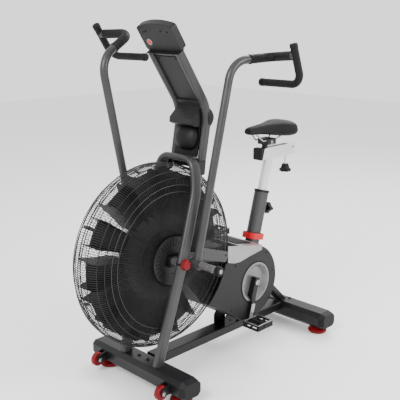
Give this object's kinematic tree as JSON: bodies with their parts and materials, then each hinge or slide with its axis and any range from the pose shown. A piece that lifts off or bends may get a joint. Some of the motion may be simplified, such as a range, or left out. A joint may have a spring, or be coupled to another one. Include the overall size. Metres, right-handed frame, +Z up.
{
  "type": "air bike",
  "caption": "Upright exercise bike with a caged air fan, swinging push-pull arms, crank drive, adjustable saddle and tilted console.",
  "frame": {"origin": "on the floor under the middle of the bike", "axes": "+X to the rear of the bike, +Y to the rider's right, +Z up"},
  "size_m": [1.213, 0.7402, 1.4013],
  "materials": {
    "dark_steel": "satin",
    "black_steel": "satin",
    "grey_steel": "metallic satin",
    "black_plastic": "fine grain",
    "charcoal_plastic": "fine grain",
    "grey_plastic": "fine grain",
    "silver_plastic": "silver coat",
    "red_plastic": "moulded",
    "dark_red": "moulded",
    "bright_steel": "ground",
    "chrome": "plated",
    "wire": "plated wire",
    "fan_metal": "painted black",
    "disc_metal": "satin",
    "rubber": "foam grip",
    "saddle_cover": "grained vinyl",
    "screen": "display window"
  },
  "bodies": {
    "frame": {"stabilizers": "dark_steel", "stabilizer_end_caps": "black_plastic", "base_rail": "dark_steel", "frame_brackets": "black_steel", "front_feet": "dark_red", "wheel_brackets": "dark_steel", "seat_tube": "grey_steel", "seat_tube_collar": "black_plastic", "rear_strut": "dark_steel", "crank_bearings": "bright_steel", "fork_legs": "grey_steel", "fork_arch": "grey_steel", "mast_tubes": "grey_steel", "mast_bracket": "black_steel", "fan_axle": "bright_steel", "axle_caps": "dark_red", "frame_stays": "black_steel", "pivot_shafts": "bright_steel", "foot_pegs": "bright_steel", "peg_caps": "black_plastic", "guard_halves": "wire", "guard_hub_plates": "black_steel", "drive_belt": "rubber", "mast_panels": "black_plastic", "bottle_holder": "charcoal_plastic", "console_housing": "charcoal_plastic", "console_screen": "screen", "left_shroud": "charcoal_plastic", "right_shroud": "charcoal_plastic", "shroud_top_cover": "silver_plastic", "side_panels": "grey_plastic", "seat_tube_trim": "red_plastic"},
    "left_rear_foot": {"left_rear_foot": "dark_red"},
    "right_rear_foot": {"right_rear_foot": "dark_red"},
    "left_wheel": {"left_wheel": "dark_red"},
    "right_wheel": {"right_wheel": "dark_red"},
    "fan": {"fan_disc": "fan_metal", "fan_bearings": "bright_steel", "fan_blades": "fan_metal", "fan_pulley": "disc_metal"},
    "crank": {"crank_axle": "bright_steel", "crank_pulley": "disc_metal", "crank_discs": "disc_metal", "crank_arms": "black_steel", "pedal_spindles": "bright_steel"},
    "left_pedal": {"left_pedal": "black_plastic"},
    "right_pedal": {"right_pedal": "black_plastic"},
    "left_arm": {"left_arm": "grey_steel", "left_grips": "rubber"},
    "right_arm": {"right_arm": "grey_steel", "right_grips": "rubber"},
    "seat_post": {"seat_post": "chrome", "post_head": "chrome"},
    "post_knob": {"post_knob": "black_plastic"},
    "head_knob": {"head_knob": "black_plastic"},
    "saddle": {"saddle_carriage": "black_steel", "saddle_rails": "bright_steel", "saddle": "saddle_cover"},
    "left_button": {"left_button": "red_plastic"},
    "right_button": {"right_button": "grey_plastic"}
  },
  "joints": [
    {"name": "fan_spin", "type": "hinge", "parent": "frame", "child": "fan", "pos_m": [-0.2435, 0, 0.5145], "axis": [0, 1, 0], "continuous": true},
    {"name": "crank_spin", "type": "hinge", "parent": "frame", "child": "crank", "pos_m": [0.2295, 0, 0.303], "axis": [0, 1, 0], "continuous": true},
    {"name": "left_pedal_spin", "type": "hinge", "parent": "crank", "child": "left_pedal", "pos_m": [0.17988, -0.172, 0.14564], "axis": [0, 1, 0], "continuous": true},
    {"name": "right_pedal_spin", "type": "hinge", "parent": "crank", "child": "right_pedal", "pos_m": [0.27912, 0.172, 0.46036], "axis": [0, 1, 0], "continuous": true},
    {"name": "left_arm_swing", "type": "hinge", "parent": "frame", "child": "left_arm", "pos_m": [-0.1895, 0, 0.507], "axis": [0, 1, 0], "range_deg": [-27, 2]},
    {"name": "right_arm_swing", "type": "hinge", "parent": "frame", "child": "right_arm", "pos_m": [-0.1895, 0, 0.507], "axis": [0, 1, 0], "range_deg": [-2, 27]},
    {"name": "seat_post_slide", "type": "slide", "parent": "frame", "child": "seat_post", "axis": [0.2639, 0, 0.9646], "range_m": [-0.12, 0.12]},
    {"name": "post_knob_turn", "type": "hinge", "parent": "frame", "child": "post_knob", "pos_m": [0.37428, 0, 0.59103], "axis": [0.9646, 0, -0.2639], "range_deg": [-540, 0]},
    {"name": "head_knob_turn", "type": "hinge", "parent": "seat_post", "child": "head_knob", "pos_m": [0.5565, 0, 0.76], "axis": [0, 0, 1], "range_deg": [-540, 0]},
    {"name": "saddle_slide", "type": "slide", "parent": "seat_post", "child": "saddle", "axis": [1, 0, 0], "range_m": [0, 0.14]},
    {"name": "left_rear_foot_turn", "type": "hinge", "parent": "frame", "child": "left_rear_foot", "pos_m": [0.5585, -0.215, 0.015], "axis": [0, 0, 1], "range_deg": [-360, 360]},
    {"name": "right_rear_foot_turn", "type": "hinge", "parent": "frame", "child": "right_rear_foot", "pos_m": [0.5585, 0.215, 0.015], "axis": [0, 0, 1], "range_deg": [-360, 360]},
    {"name": "left_wheel_spin", "type": "hinge", "parent": "frame", "child": "left_wheel", "pos_m": [-0.3975, -0.192, 0.058], "axis": [0, 1, 0], "continuous": true},
    {"name": "right_wheel_spin", "type": "hinge", "parent": "frame", "child": "right_wheel", "pos_m": [-0.3975, 0.192, 0.058], "axis": [0, 1, 0], "continuous": true},
    {"name": "left_button_press", "type": "slide", "parent": "frame", "child": "left_button", "axis": [-0.832, 0, -0.5548], "range_m": [0, 0.002], "stiffness_N_per_m": 300, "springref_m": -0.001},
    {"name": "right_button_press", "type": "slide", "parent": "frame", "child": "right_button", "axis": [-0.832, 0, -0.5548], "range_m": [0, 0.002], "stiffness_N_per_m": 300, "springref_m": -0.001}
  ],
  "couplings": [
    {"joint": "crank_spin", "follows": "fan_spin", "ratio": 0.28},
    {"joint": "right_arm_swing", "follows": "left_arm_swing", "ratio": -1}
  ]
}
